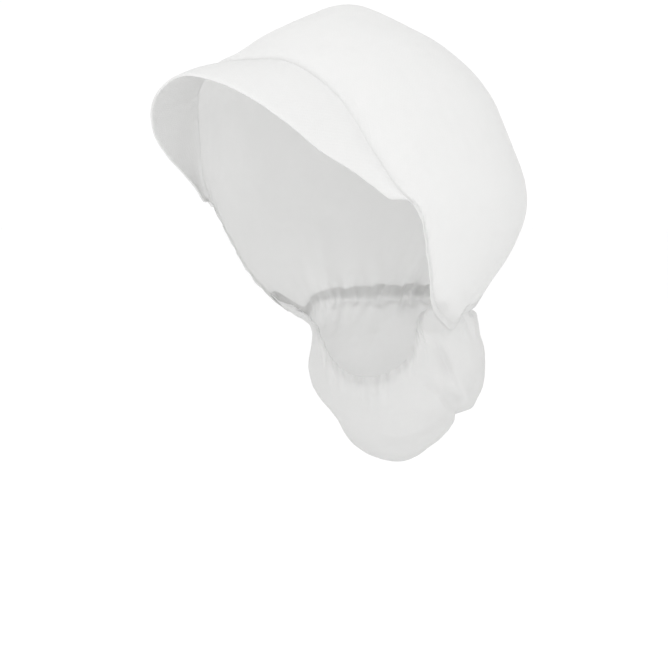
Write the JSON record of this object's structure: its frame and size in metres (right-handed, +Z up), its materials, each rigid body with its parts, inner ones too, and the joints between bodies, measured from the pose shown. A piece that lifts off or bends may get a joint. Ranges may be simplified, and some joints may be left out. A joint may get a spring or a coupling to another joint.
{
  "type": "disposable visor cap",
  "caption": "Thin white non-woven cap with a full puffed crown, a stiff curved peak from ear to ear, and a soft snood that holds the hair behind the neck.",
  "frame": {"origin": "inside the top of the crown, where the top of the wearer's head bears", "axes": "+Z up, the wearer faces -Y, and +X is the wearer's left"},
  "size_m": [0.179, 0.2751, 0.2862],
  "materials": {
    "cloth": "matt non-woven cloth",
    "peak_cloth": "matt stiffened non-woven cloth"
  },
  "bodies": {
    "root": {"crown": "cloth", "peak": "peak_cloth", "snood": "cloth"}
  },
  "joints": []
}
